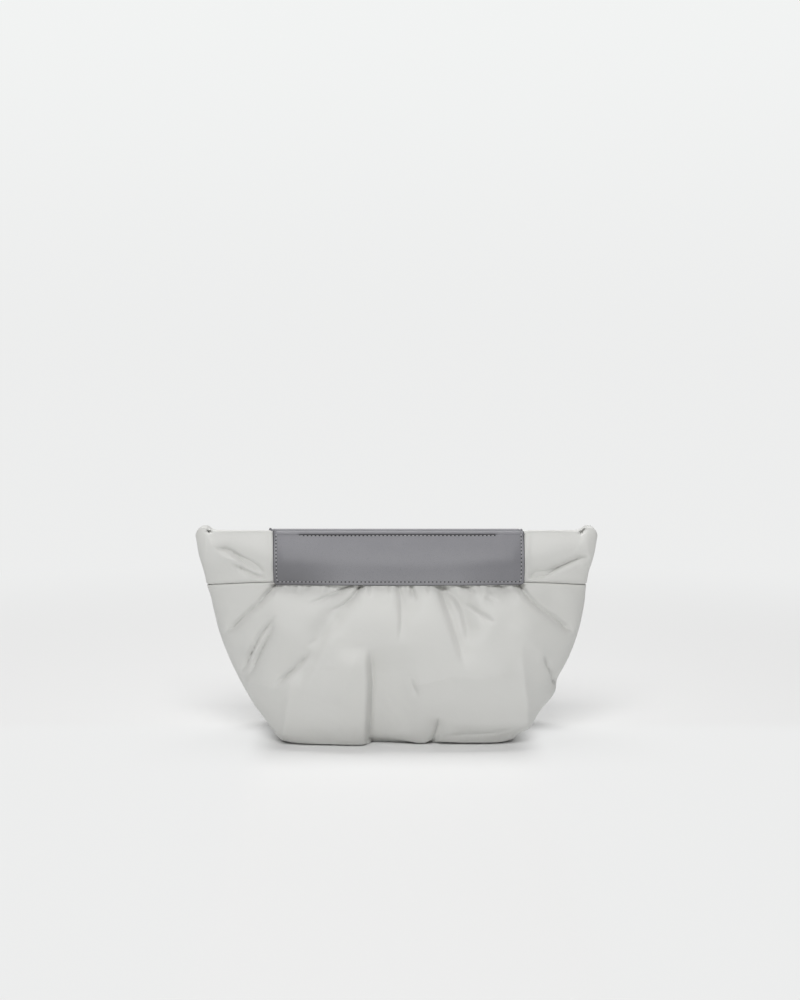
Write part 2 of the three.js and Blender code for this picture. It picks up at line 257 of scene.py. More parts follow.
# %% [markdown]
# ## The shape of the bag, as numbers
# The body is a stack of rounded ovals, squarer towards the base, and the band is another stack between
# the seam and the rim. The tables are those of the solids, with the soft edges drawn a little closer to
# the real cloth: the base is boxier, and the seam runs higher, behind the lower edge of the leather. A
# cubic curve through each column of a table keeps the walls smooth.

# %% Tables and curves
SEAM_Z, SEAM_DROP, SEAM_HALF_WIDTH = 116.5, 4.7, 142.6
PINCH_Z = 114.0  # the lower edge of the leather, which holds the gathers flat
SEWN_GAP = 0.3
BODY_SECTIONS = np.array([  # height, half width, half depth, squareness, lean to the right, taper
    (0, 87.7, 46, 8, -0.7, 0.12), (2, 89.7, 47.6, 7.6, -0.8, 0.12), (6, 93.2, 49.6, 6.9, -0.9, 0.118),
    (12, 99.8, 51.4, 5.9, 1.1, 0.11), (24, 108.4, 53.4, 4.4, 1.4, 0.085), (40, 117.5, 54, 3.3, 1.3, 0.04),
    (60, 127.8, 51.5, 2.7, 1.7, 0.006), (80, 135, 46, 2.5, 1.6, 0), (95, 138.5, 39.5, 2.35, 1.4, 0),
    (106, 140.5, 32.5, 2.3, 1.0, 0), (111, 141.4, 28.3, 2.3, 0.5, 0), (114, 142, 25.6, 2.3, 0.2, 0),
    (116.5, 142.6, 24.2, 2.3, 0, 0)], float)


def ease(value, low, high):
    share = np.clip((value - low) / (high - low), 0, 1)
    return share * share * (3 - 2 * share)


def through(table, at, column):
    heights, values = table[:, 0], table[:, column]
    slopes = np.gradient(values, heights)
    i = np.clip(np.searchsorted(heights, at, side="right") - 1, 0, len(heights) - 2)
    span = heights[i + 1] - heights[i]
    t = (at - heights[i]) / span
    start = (2 * t**3 - 3 * t**2 + 1) * values[i] + (t**3 - 2 * t**2 + t) * span * slopes[i]
    return start + (3 * t**2 - 2 * t**3) * values[i + 1] + (t**3 - t**2) * span * slopes[i + 1]


def oval(half_width, half_depth, squareness, turn):
    c, s = np.cos(turn), np.sin(turn)
    reach = (np.abs(c)**squareness + np.abs(s)**squareness)**(1 / squareness)
    x, y = half_width * c / reach, half_depth * s / reach
    out_x = np.sign(x) * np.abs(x / half_width)**(squareness - 1) / half_width
    out_y = np.sign(y) * np.abs(y / half_depth)**(squareness - 1) / half_depth
    length = np.hypot(out_x, out_y)
    return x, y, out_x / length, out_y / length


def turns(columns):
    even = np.arange(columns) / columns * 2 * math.pi
    return (even + 0.25 * np.sin(2 * even))[None]


def seam_fall(x):
    return SEAM_DROP * (x / SEAM_HALF_WIDTH)**4


# %% [markdown]
# ## Folds
# Cloth that is gathered at a seam throws folds that run down and away from it. Each row below is one fold,
# as a path down the front of the bag. A crease is a sharp valley whose slopes run out on both sides, and
# with a negative depth it is a sharp ridge. A dent is a soft valley. A step is a pleat: the cloth on the
# left of the path lies over the cloth on its right. A tuck is a step that only sinks. The two widths say
# how far each reaches, and the two fades are the shares of the path over which it begins and dies away.
# A fold with no first fade starts at the seam, narrow and sharp, and opens below it. The photograph
# doesn't show the back, which gets the same folds, turned about, shifted and softened.

# %% Fold tables
FOLDS = [  # kind, depth, two widths, two fades, path
    ("crease", 4.6, 9, 4, 0, 0.25,
     [(-90, 114), (-98, 106), (-102, 101), (-115, 90), (-127, 79), (-131, 75)]),
    ("crease", -1.8, 4, 12, 0, 0.5, [(-84, 112), (-92, 105), (-108, 90), (-120, 78)]),
    ("crease", 4.6, 5, 3, 0.3, 0.3, [(-87, 95), (-101, 79), (-111, 61), (-117, 46)]),
    ("crease", 5.6, 3, 8, 0.3, 0.4, [(-89, 90), (-94, 80), (-104, 62), (-110, 44)]),
    ("crease", 4.2, 7, 2.5, 0.3, 0.3, [(-62, 70), (-66, 65), (-77, 54), (-91, 41)]),
    ("crease", -2.6, 3, 6, 0.3, 0.3, [(-61, 67), (-65, 61), (-76, 50), (-88, 38)]),
    ("crease", 0.9, 3, 2, 0.3, 0.4, [(-52, 82), (-58, 77), (-66, 72)]),
    ("crease", -5.5, 9, 30, 0.28, 0.15, [(-75.5, 60), (-81, -6)]),
    ("dent", 3.0, 12, 5, 0.2, 0.4, [(-50, 92), (-57, 76), (-71, 48), (-76, 34)]),
    ("crease", -2.4, 5, 14, 0.3, 0.4, [(-44, 92), (-51, 76), (-64, 48), (-69, 32)]),
    ("crease", 3.0, 5, 3, 0, 0.5, [(-33, 114), (-45, 109), (-58, 104), (-70, 100)]),
    ("crease", 4.8, 6, 3, 0, 0.5, [(-26, 114), (-32, 106), (-38, 101), (-50, 95)]),
    ("dent", 2.4, 8, 5, 0.3, 0.5, [(-40, 100), (-47, 90), (-54, 80), (-60, 68)]),
    ("step", 11, 2.0, 28, 0.3, 0, [(-21, 74), (-20, 60), (-19, 49), (-20, 25), (-22, 0)]),
    ("crease", -3.2, 12, 6, 0.3, 0.4, [(-26, 72), (-34, 52), (-43, 28)]),
    ("tuck", 1.8, 1.4, 6, 0, 0.4, [(1, 114), (2, 105), (2.6, 91), (1.6, 83), (0.4, 74)]),
    ("crease", 1.8, 2, 2, 0, 0.5, [(11, 114), (12, 110), (15, 103)]),
    ("tuck", 5.6, 2.2, 11, 0, 0.4, [(30, 114), (34, 102), (38, 91), (44, 73), (49, 54)]),
    ("tuck", 6.2, 2.0, 10, 0, 0.3, [(31, 114), (36, 109), (43, 103), (48, 94.5), (50.4, 84), (51, 72)]),
    ("crease", 2.6, 3, 3, 0, 0.5, [(48, 114), (60, 109)]),
    ("crease", 3.0, 4, 2.5, 0.3, 0.4, [(48, 102), (52, 100), (74, 88)]),
    ("crease", 1.8, 4, 3, 0.3, 0.5, [(64, 107), (76, 101)]),
    ("crease", 2.6, 3, 3, 0, 0.5, [(74, 114), (85, 109)]),
    ("crease", 4.8, 4, 8, 0, 0.15,
     [(91, 114), (95, 109), (98, 105), (108, 96), (118, 90), (129, 81), (132, 78)]),
    ("crease", -1.6, 11, 4, 0, 0.5, [(88, 110), (92, 104), (104, 93), (116, 86)]),
    ("crease", -3.0, 16, 9, 0.3, 0.2, [(80, 90), (95, 79), (104, 68), (111, 52), (116, 39)]),
    ("crease", 3.6, 3, 7, 0.3, 0.2, [(106, 66), (113, 52), (120, 37)]),
    ("crease", -5.5, 30, 9, 0.35, 0.28, [(90, 80), (93, -6)]),
    ("crease", -2.4, 4, 3, 0.3, 0.1, [(90.5, 66), (92.7, 4)]),
    ("crease", -2.2, 3, 4, 0.3, 0.1, [(-76.8, 44), (-80.2, 4)]),
    ("crease", -2.4, 13, 6, 0.15, 0.25, [(-112, 44), (-98, 43.7), (-88, 42.5), (-78, 41.5)]),
    ("crease", -3.2, 12, 16, 0.2, 0.2, [(0, 44), (16, 46), (40, 52), (62, 50), (88, 57)]),
    ("crease", 1.0, 6, 5, 0.3, 0.3, [(30, 5), (50, 8), (72, 9), (90, 15)]),
    ("crease", 3.8, 5, 3, 0.4, 0, [(31, 22), (30, 16), (27, 0)]),
    ("crease", 1.4, 4, 3, 0.4, 0.4, [(10, 52), (12, 45), (16, 35)])]
FOLD_LIMIT = 9.0
CORE = 1.2  # the half width of a crease's sharp middle
FOOT = 0.35  # a step or a tuck is deeper at its foot by this share
BACK_SHIFT, BACK_SQUEEZE, BACK_SOFTEST = 5.0, 0.96, 0.45


def path_distance(path, x, z):
    path = np.array(path, float)
    lengths = np.hypot(*np.diff(path, axis=0).T)
    nearest, share = np.full(x.shape, 1e9), np.zeros(x.shape)
    for i, length in enumerate(lengths):
        dx, dz = (path[i + 1] - path[i]) / length
        along = np.clip((x - path[i, 0]) * dx + (z - path[i, 1]) * dz, 0, length)
        from_x, from_z = x - path[i, 0] - along * dx, z - path[i, 1] - along * dz
        distance = np.hypot(from_x, from_z) * np.where(dx * from_z - dz * from_x < 0, -1, 1)
        closer = np.abs(distance) < np.abs(nearest)
        nearest = np.where(closer, distance, nearest)
        share = np.where(closer, (lengths[:i].sum() + along) / lengths.sum(), share)
    return nearest, share


def fold_offset(fold, x, z):
    kind, depth, first, second, begin, end, path = fold
    t, share = path_distance(path, x, z)
    begun = ease(share, 0, begin) if begin else 1
    ended = ease(share, 1 - end, 1) if end else 0
    strength = depth * begun * (1 - ended)
    spread_out = 1 if begin else 0.3 + 0.7 * ease(share, 0, 0.45)
    if kind == "dent":
        return -strength * np.exp(-(t / np.where(t < 0, first, second))**2)
    foot = FOOT * np.exp(-np.abs(t - first) / CORE)
    if kind == "step":
        return -strength * (0.5 * np.tanh(t / first) * np.exp(-(t / second / spread_out)**2) + foot)
    if kind == "tuck":
        sunk = 0.5 * (1 + np.tanh(t / first)) * np.exp(-(np.maximum(t, 0) / second / spread_out)**2)
        return -strength * (sunk + foot)
    slopes = np.exp(-np.abs(t) / np.where(t < 0, first, second) / spread_out)
    opened = 1 if begin else ease(share, 0, 0.35)
    core = (1.5 - 0.75 * opened) * np.exp(-np.abs(t) / (CORE * (0.75 + 0.25 * opened)))
    return -strength * (slopes if depth < 0 else 0.65 * slopes + core)


def folds_offset(folds, x, z, out_y):
    front = sum(fold_offset(fold, x, z) for fold in folds)
    softer = np.random.default_rng(11).uniform(BACK_SOFTEST, 1.0, len(folds))
    back_x = BACK_SHIFT - BACK_SQUEEZE * x
    back = sum(share * fold_offset(fold, back_x, z) for share, fold in zip(softer, folds))
    return FOLD_LIMIT * np.tanh(np.where(out_y < 0, front, back) / FOLD_LIMIT)


print(len(FOLDS), "folds")

# %% [markdown]
# ## The gathered body
# A gathered bag is wider cloth sewn to a narrower band. Folds given by a table alone look drawn, so
# Blender's cloth helps: the wall starts with a part of the folds, its seam and its base are pinned, and it
# is given more cloth than fits near the seam, as the sewer did. A negative shrink makes that spare cloth,
# and it has to buckle outwards. The solver likes objects about a metre wide, so the wall is simulated at
# ten times its size.

# %% The wall before it settles
WALL_ROWS, WALL_COLUMNS = 50, 200
FOLDS_BEFORE = 0.45  # the part of the folds that the wall starts with
BASE_CORNER_OUT, BASE_CORNER_TOP = 6.0, 24.0  # the base's right front corner stands out, up to this height


def body_levels(rows):
    z = np.linspace(0, SEAM_Z, 800)
    run = np.hypot(np.diff(z), np.diff(through(BODY_SECTIONS, z, 2)))
    length = np.r_[0, np.cumsum(run)]
    return np.interp(np.linspace(0, length[-1], rows), length, z)


def body_wall(levels, columns, inset=0.0):
    width, depth, square, lean, taper = (through(BODY_SECTIONS, levels, i)[:, None] for i in range(1, 6))
    x, y, out_x, out_y = oval(width, depth, square, turns(columns))
    low_down = ease(BASE_CORNER_TOP - levels[:, None], 0, BASE_CORNER_TOP)
    near_corner = low_down * ease(-y / depth, 0.3, 0.95) * ease(x, 30, 80)
    x = x * (1 - taper * (y / depth)**2) + lean + BASE_CORNER_OUT * near_corner
    z = levels[:, None] - (levels[:, None] / SEAM_Z)**2 * seam_fall(x)
    return np.stack([x - out_x * inset, y - out_y * inset, z], -1), np.stack([out_x, out_y, 0 * out_x], -1)


def fold_wall(points, out, share):
    x, z = points[..., 0], points[..., 2]
    held = ease(np.abs(out[..., 1]), 0.04, 0.34) * ease(PINCH_Z + 1.2 - z, 0, 1.6)
    return points + out * (share * held * folds_offset(FOLDS, x, z, out[..., 1]))[..., None]


wall_z = body_levels(WALL_ROWS)
plain, wall_out = body_wall(wall_z, WALL_COLUMNS)
wall = fold_wall(plain, wall_out, FOLDS_BEFORE)
print("wall", wall.shape[:2], "points, rows about", round(float(np.diff(wall_z).mean()), 2), "mm apart")

# %% Let it settle
SIM_SCALE = 10 * MM
SPARE, SPARE_FADE, SPARE_LEAST = 0.05, 38.0, 0.01  # the spare share of cloth, and how it fades downwards
RIPPLE = 0.15  # an uneven start, so that the cloth has somewhere to buckle
PINNED_ROWS = 3
MOVE_LIMIT = 2.5
WALL_CLOTH = {
    "quality": 6, "mass": 0.3, "tension_stiffness": 15, "compression_stiffness": 15, "shear_stiffness": 5,
    "bending_stiffness": 4.0, "vertex_group_mass": "held", "vertex_group_shrink": "tight",
    "shrink_max": 0, "use_pressure": True, "uniform_pressure_force": 0.2}


def grid_faces(n):
    return np.stack([n[:-1, :-1], n[:-1, 1:], n[1:, 1:], n[1:, :-1]], -1).reshape(-1, 4)


def ring_faces(rows, columns):
    n = np.arange(rows * columns).reshape(rows, columns)
    return grid_faces(np.concatenate([n, n[:, :1]], 1))


def add_mesh(name, points, edges, faces):
    mesh = bpy.data.meshes.new(name)
    mesh.from_pydata(points, edges, faces)
    return add_object(name, mesh)


def settle(points, spare, pinned, frames=30):
    faces = ring_faces(*points.shape[:2]).tolist()
    trial = add_mesh("wall_trial", (points.reshape(-1, 3) * SIM_SCALE).tolist(), [], faces)
    mesh = trial.data
    trial.vertex_groups.new(name="held").add(np.flatnonzero(pinned).tolist(), 1.0, "REPLACE")
    tight = trial.vertex_groups.new(name="tight")
    for index, weight in enumerate((1 - spare / spare.max()).ravel()):
        tight.add([index], float(weight), "REPLACE")
    cloth = trial.modifiers.new("cloth", "CLOTH")
    for name, value in WALL_CLOTH.items():
        setattr(cloth.settings, name, value)
    cloth.settings.shrink_min = -float(spare.max())
    cloth.settings.effector_weights.gravity = 0
    cloth.collision_settings.use_collision = False
    for step in range(1, frames + 1):
        scene.frame_set(step)
    settled = trial.evaluated_get(bpy.context.evaluated_depsgraph_get()).data
    flat = np.empty(points.size, np.float32)
    settled.vertices.foreach_get("co", flat)
    scene.frame_set(1)
    bpy.data.objects.remove(trial)
    bpy.data.meshes.remove(mesh)
    return flat.reshape(points.shape).astype(float) / SIM_SCALE


def cap(move, limit):
    length = np.linalg.norm(move, axis=-1, keepdims=True)
    return move * (limit * np.tanh(length / limit) / np.maximum(length, 1e-9))


below_panel = 1 - ease(np.abs(wall[..., 0] - 2), 84, 104)
faces_out = ease(np.abs(wall_out[..., 1]), 0.3, 0.8)
below_seam = np.exp(-(SEAM_Z - wall_z) / SPARE_FADE)[:, None]
spare = SPARE * below_seam * faces_out * (0.35 + 0.65 * below_panel) + SPARE_LEAST
ripple = np.random.default_rng(3).normal(size=wall.shape[:2])[..., None] * RIPPLE * wall_out
pinned = np.repeat((np.arange(WALL_ROWS) < PINNED_ROWS) | (wall_z > PINCH_Z), WALL_COLUMNS)
settled = settle(wall + ripple, spare, pinned)
move = cap(settled - wall, MOVE_LIMIT) * (0.25 + 0.75 * faces_out)[..., None]
for _ in range(2):
    move = (2 * move + np.roll(move, 1, 1) + np.roll(move, -1, 1)) / 4
    move[1:-1] = (2 * move[1:-1] + move[:-2] + move[2:]) / 4
move[..., 2] = np.minimum(move[..., 2], np.maximum(PINCH_Z - wall_z, 0)[:, None] * 0.5)
plain = plain + move
print("settled by", np.linalg.norm(move, axis=-1).mean().round(2), "mm on average")

# %% [markdown]
# The settled wall is still coarse, so only its movement is kept, smoothed a little. Cubic curves through
# its points give a finer grid, closer spaced under the seam. On that we press the folds, sharper than the
# coarse cloth could hold them, the small puckers under the leather's edge, and the hem where the cloth
# turns in to be sewn. The cloth's front edge also lifts off the ground a little beside the middle fold.

# %% A finer wall
FINE_COLUMNS = 560
FINE_ROWS = np.r_[  # counted in rows of the coarse wall
    0, 0.12, np.linspace(0.4, 42, 104, endpoint=False), np.linspace(42, WALL_ROWS - 1, 28)]


def cubic(points, at, axis, closed):
    points = np.moveaxis(points, axis, 0)
    count = len(points)
    i = np.floor(at).astype(int)
    if not closed:
        i = np.minimum(i, count - 2)
    t = (at - i).reshape(-1, *([1] * (points.ndim - 1)))
    near = [(i + k) % count if closed else np.clip(i + k, 0, count - 1) for k in (-1, 0, 1, 2)]
    a, b, c, d = (points[index] for index in near)
    curve = b + 0.5 * t * (c - a + t * (2 * a - 5 * b + 4 * c - d + t * (3 * (b - c) + d - a)))
    return np.moveaxis(curve, 0, axis)


def refine(points):
    fine = cubic(points, FINE_ROWS, 0, False)
    return cubic(fine, np.arange(FINE_COLUMNS) / FINE_COLUMNS * points.shape[1], 1, True)


body = refine(plain)
fine_z = cubic(wall_z[:, None], FINE_ROWS, 0, False)
print("finer wall", body.shape[:2])

# %% Folds, puckers and the lifted edge
HEM_LIFT, LIFT_FADE = 0.9, 9.0
SIDE_BUMP, BUMP_Z = 3.6, 32.5  # a fold that stands out of the right side
BUMP_ABOVE, BUMP_BELOW = 6.5, 10.4
LIFT = np.array([  # x across the front, and how much further the edge stands off the ground there
    (-95, 0), (-23, 0), (-18, 3.4), (-6, 3), (6, 1.6), (15, 0), (21, 0), (27, 2.4), (33, 1.2), (45, 0.5),
    (75, 0.2), (92, 1.2), (110, 0)], float)


def pucker_rows(count=30):
    rng = np.random.default_rng(5)
    starts = np.linspace(-86, 90, count) + rng.uniform(-2, 2, count)
    ends = starts * 1.05 + rng.uniform(-2, 2, count)
    falls = rng.uniform(4, 10, count)
    depths = rng.uniform(0.5, 1.7, count)
    return [("crease", depth, 2.2, 2.2, 0, 0.6, [(start, PINCH_Z + 1), (end, PINCH_Z - fall)])
            for start, end, fall, depth in zip(starts, ends, falls, depths)]


fine_out = refine(wall_out)
fine_out /= np.linalg.norm(fine_out, axis=-1, keepdims=True)
body = fold_wall(body, fine_out, 1.0)
x, z = body[..., 0], body[..., 2]
puckers = folds_offset(pucker_rows(), x, z, fine_out[..., 1]) * ease(PINCH_Z + 0.8 - z, 0, 2)
body = body + fine_out * (puckers * ease(np.abs(fine_out[..., 1]), 0.3, 0.6))[..., None]
in_front = ease(-fine_out[..., 1], 0.2, 0.6)
body[..., 2] += (HEM_LIFT + np.interp(x, LIFT[:, 0], LIFT[:, 1]) * in_front) * np.exp(-fine_z / LIFT_FADE)
body[..., 2] = np.maximum(body[..., 2], 0)
from_bump = (z - BUMP_Z) / np.where(z > BUMP_Z, BUMP_ABOVE, BUMP_BELOW)
body[..., 0] += SIDE_BUMP * np.exp(-from_bump**2) * ease(x, 80, 112)
print("puckers up to", round(float(np.abs(puckers).max()), 2), "mm deep")

# %% [markdown]
# At the seam the cloth turns in, as any sewn edge does, and that little roll gives the dark line between
# the body and the band. The wall then goes on down the inside as a lining, across the floor of the bag, and
# under the base, so that the body is one closed skin. A UV map of metres along the cloth carries the
# weave.

# %% Close the body and make the mesh
HEM = 0.9
HEM_HEIGHT = 2.0
LINING_INSET, LINING_ROWS = 10.0, 14
UNDER_SHARES = (0.1, 0.4, 0.7, 0.88, 0.97, 0.996)  # rings under the base, from its middle outwards
INSIDE_SHARES = (0.9, 0.6, 0.2)  # rings on the floor inside


def roll_in(from_seam, height, depth):
    turn = np.clip(1 - from_seam / height, 0, 1)
    return depth * (1 - np.sqrt(1 - turn**2))


def shell_object(name, rings, material, loop=False, caps=False):
    rows, columns = rings.shape[:2]
    points = rings.reshape(-1, 3)
    closed = np.concatenate([rings, rings[:1]], 0) if loop else rings
    wide = np.concatenate([closed, closed[:, :1]], 1)
    around = np.cumsum(np.linalg.norm(np.diff(wide, axis=1, prepend=wide[:, :1]), axis=-1), 1)
    upward = np.cumsum(np.linalg.norm(np.diff(wide, axis=0, prepend=wide[:1]), axis=-1).mean(1))
    threads = np.stack([around, np.broadcast_to(upward[:, None], around.shape)], -1).reshape(-1, 2)
    threads = threads[grid_faces(np.arange(around.size).reshape(around.shape)).ravel()]
    faces = (ring_faces(len(closed), columns) % len(points)).tolist()
    points = points.tolist()
    if caps:
        for ring, turn in ((0, -1), (rows - 1, 1)):
            points.append(rings[ring].mean(0).tolist())
            rim = [ring * columns + c for c in range(columns)][::turn]
            faces += [(rim[c], rim[(c + 1) % columns], len(points) - 1) for c in range(columns)]
            threads = np.concatenate([threads, np.zeros((3 * columns, 2))])
    return piece(name, np.array(points), faces, threads, material)


def piece(name, points, faces, threads, material):
    made = add_mesh(name, (points * MM).tolist(), [], faces)
    mesh = made.data
    layer = mesh.uv_layers.new(name=UV_NAME)
    layer.data.foreach_set("uv", (threads * MM).astype(np.float32).ravel())
    mesh.shade_smooth()
    mesh.materials.append(material)
    mesh.calc_loop_triangles()
    print(name, len(mesh.loop_triangles), "triangles")
    return made


body = body - fine_out * roll_in(SEAM_Z - fine_z, HEM_HEIGHT, HEM)[..., None]
lining_z = np.r_[SEAM_Z - 0.5, np.linspace(SEAM_Z - 4, 6, LINING_ROWS)]
lining_inset = np.r_[4.0, np.full(LINING_ROWS, LINING_INSET)][:, None]
lining, _ = body_wall(lining_z, FINE_COLUMNS, lining_inset)
middle = body[0].mean(0) * (1, 1, 0)
under = [middle + (body[0] - middle) * (s, s, 1 if s > 0.9 else 0) for s in UNDER_SHARES]
floor_inside = [lining[-1].mean(0) + (lining[-1] - lining[-1].mean(0)) * s for s in INSIDE_SHARES]
rings = np.concatenate([under, body, lining, floor_inside])
gathered = shell_object("gathered_cloth", rings, CLOTH, caps=True)

# %% [markdown]
# ## The band
# The smooth band above the seam is the same padded cloth, in one closed tube: up the outside, round the
# rim, down the inside and back across the sewn edge. It is a little puffed, pulled into a few slanting
# wrinkles where the panels hold it, and it swells beside their edges. At both ends of the mouth the rim
# rises into a rounded ear, and beside the ear the cloth tucks into a small dark pit.

# %% The band's outside
RIM_Z, CORNER_RISE, CORNER_DROP = 153.2, 2.6, 6.4
EAR_START, EAR_TOP, CORNER_START, CORNER_END = 138.0, 142.5, 144.0, 150.0
PANEL_RIM_DIP = 2.4  # how far the leather presses the rim down
CLOTH_WALL = 3.0
PANEL_HALF_WIDTH, PANEL_SHIFT = 92.0, 2.0
BAND_SECTIONS = np.array([  # share of the way up, half width, half depth, squareness
    (0, 142.6, 24.6, 2.3), (0.35, 144.6, 21.8, 3.4), (0.7, 147.7, 15.8, 7), (1, 150, 9.2, 9)], float)
BAND_FOLDS = [
    ("crease", 7.0, 9, 6, 0.35, 0.3, [(-138, 141), (-126, 139.5), (-111, 130.5), (-95, 121.5)]),
    ("crease", -2.2, 6, 3, 0.25, 0.2, [(-133, 136), (-122, 132.5), (-110, 125), (-96, 118.5)]),
    ("crease", 3.6, 3, 5, 0.3, 0.2, [(-123, 129), (-110, 122.5), (-94, 117)]),
    ("crease", 6.6, 9, 9, 0.2, 0.2, [(143, 135), (128, 129), (112, 122), (95, 118)]),
    ("crease", -1.6, 5, 8, 0.3, 0.2, [(139, 129), (122, 122.5), (108, 118)])]
BAND_COLUMNS = 720
BACK_DROP = 1.8  # how much lower the back of the rim lies beside the panel
BACK_REACH = 4.0  # how much further the back panel reaches to the left
BAND_PUFF, EDGE_SWELL, END_RIDGE = 1.2, 0.9, 0.8
END_EDGE, END_EDGE_LEAN = 142.5, 1.5  # the upright edge at each end of the band, and how it leans in


def back_reach(x):
    return BACK_REACH * ease(-x, 60, 92)


def rim_height(x, back=0.0):
    rise = CORNER_RISE * ease(np.abs(x), EAR_START, EAR_TOP)
    turn = np.clip((np.abs(x) - CORNER_START) / (CORNER_END - CORNER_START), 0, 1)
    rounding = CORNER_DROP * (1 - np.sqrt(1 - turn**2))
    from_panel = np.abs(x + back * back_reach(x) - PANEL_SHIFT)
    beside = ease(from_panel, PANEL_HALF_WIDTH, PANEL_HALF_WIDTH + 4)
    drop = back * BACK_DROP * beside * (1 - ease(np.abs(x), 132, 140))
    return RIM_Z + rise - rounding - PANEL_RIM_DIP * (1 - beside) - drop


def band_foot(x):
    return SEAM_Z - seam_fall(x) + SEWN_GAP


def band_top(x, back=0.0):
    return rim_height(x, back) - CLOTH_WALL / 2


def band_wall(shares, columns):
    width, depth, square = (through(BAND_SECTIONS, shares, i)[:, None] for i in (1, 2, 3))
    x, y, out_x, out_y = oval(width, depth, square, turns(columns))
    foot_x = oval(*BAND_SECTIONS[0, 1:], turns(columns))[0]
    rim_x, rim_y = oval(*BAND_SECTIONS[-1, 1:], turns(columns))[:2]
    top = band_top(rim_x, ease(rim_y, 3, 7))
    z = band_foot(foot_x) * (1 - shares[:, None]) + top * shares[:, None]
    return np.stack([x, y, z], -1), np.stack([out_x, out_y, 0 * out_x], -1)


band_shares = np.r_[np.linspace(0, 0.09, 8, endpoint=False), np.linspace(0.09, 0.9, 32, endpoint=False),
                    np.linspace(0.9, 1, 8)]
band, band_out = band_wall(band_shares, BAND_COLUMNS)
x, z, faces_out = band[..., 0], band[..., 2], ease(np.abs(band_out[..., 1]), 0.1, 0.6)
behind = band[..., 1] > 0
past_panel = np.abs(x + behind * back_reach(x) - PANEL_SHIFT) - PANEL_HALF_WIDTH
held = ease(z - SEAM_Z, 0, 5) * ease(RIM_Z + 2 - z, 0, 6)
offset = folds_offset(BAND_FOLDS, x, z, band_out[..., 1]) * held
offset += BAND_PUFF * np.sin(np.pi * band_shares)[:, None] * ease(past_panel, 2, 16)
offset += EDGE_SWELL * np.exp(-((past_panel - 3) / 1.5)**2) * ease(z - SEAM_Z, 0, 14) * held
offset *= ease(past_panel, 0.5, 3) * faces_out
from_edge = np.abs(np.abs(x) - (END_EDGE - END_EDGE_LEAN * band_shares[:, None]))
offset += END_RIDGE * np.exp(-from_edge / 2.6) * held * ease(band_shares, 0.15, 0.5)[:, None]
hem = roll_in(z - band_foot(x), HEM_HEIGHT, HEM) * ease(past_panel, -6, 0)
band = band + band_out * (offset - hem)[..., None]
print("band moved by", offset.min().round(2), "to", offset.max().round(2), "mm")

# %% Rim, inside and the mesh
RIM_STEPS = 10
MOUTH_STRAIGHT, MOUTH_END = 110.0, 139.5  # the mouth narrows from here, and closes here
PITS = (  # where the cloth tucks in at the ends of the rim: x, z, half length, half width, slant, depth
    (-139.6, 152.3, 1.4, 0.9, 0.0, 5.5), (138.9, 152.6, 2.7, 1.0, 1.0, 6.5))
PIT_FADE = 5  # rows of the rim over which a pit fades out
back = ease(band[-1, :, 1], 3, 7)
inner_shares = np.linspace(1, 0, 16)
inner, inner_out = band_wall(inner_shares, BAND_COLUMNS)
inner = inner - inner_out * CLOTH_WALL
from_middle = np.abs(inner[..., 0])
squeeze = (MOUTH_END - MOUTH_STRAIGHT) / (from_middle[0].max() - MOUTH_STRAIGHT)
squeezed = MOUTH_STRAIGHT + (from_middle - MOUTH_STRAIGHT) * squeeze
from_middle = np.where(from_middle > MOUTH_STRAIGHT, squeezed, from_middle)
inner[..., 0] = np.sign(inner[..., 0]) * from_middle
inner[..., 1] *= 1 - 0.7 * ease(from_middle, MOUTH_STRAIGHT, MOUTH_END)
inner[..., 2] += inner_shares[:, None] * (band_top(inner[0, :, 0], back) - inner[0, :, 2])
rim_turn = np.linspace(0, np.pi, RIM_STEPS + 1)[1:-1, None, None]
rim = band[-1] + (inner[0] - band[-1]) * (1 - np.cos(rim_turn)) / 2
rim[..., 2] = band_top(rim[..., 0], back) + np.sin(rim_turn[..., 0]) * CLOTH_WALL / 2
band_rings = np.concatenate([band, rim, inner])
beyond_fade = np.zeros(len(rim) - PIT_FADE + len(inner))
outside = np.r_[np.ones(len(band)), np.linspace(1, 0, PIT_FADE), beyond_fade][:, None]
for pit_x, pit_z, half_length, half_width, slant, pit_depth in PITS:
    dx, dz = band_rings[..., 0] - pit_x, band_rings[..., 2] - pit_z
    along = dx * math.cos(slant) + dz * math.sin(slant)
    across = dz * math.cos(slant) - dx * math.sin(slant)
    near = np.exp(-((along / half_length)**2 + (across / half_width)**2)**2) * (band_rings[..., 1] < 0)
    band_rings[..., 1] += pit_depth * near * outside
yoke = shell_object("yoke_cloth", band_rings, CLOTH, loop=True)

# %% [markdown]
# ## The leather panels
# Each panel is one piece of leather that comes up from the seam, folds over the rim and ends inside the
# mouth. We lay a grid on the band's cloth, the columns across and the rows along the fold, and give it
# thickness both ways from its middle. The thickness runs out in a quarter round at the border, which
# makes the soft painted edge of cut leather. The row of stitches presses a channel along three edges,
# and a pressed line runs under the rim.

# %% The panel's surface
LEATHER_THICK = 1.6
INNER_LEG = 12.0
PANEL_FOOT_Z, PANEL_CORNER = PINCH_Z + 0.1, 3.0
LEFT_EDGE, RIGHT_EDGE = (-90.6, -92.4), (94.3, 95.4)  # at the bottom and at the rim
STITCH_INSET = 2.6
PRESSED_LINE = (-73.5, 74.5)
LINE_SHADE = 0.1  # the painted shade in the pressed line lies this much above its middle


def spread(*stretches):
    return np.unique(np.concatenate([np.linspace(a, b, n) for a, b, n in stretches]).round(5))


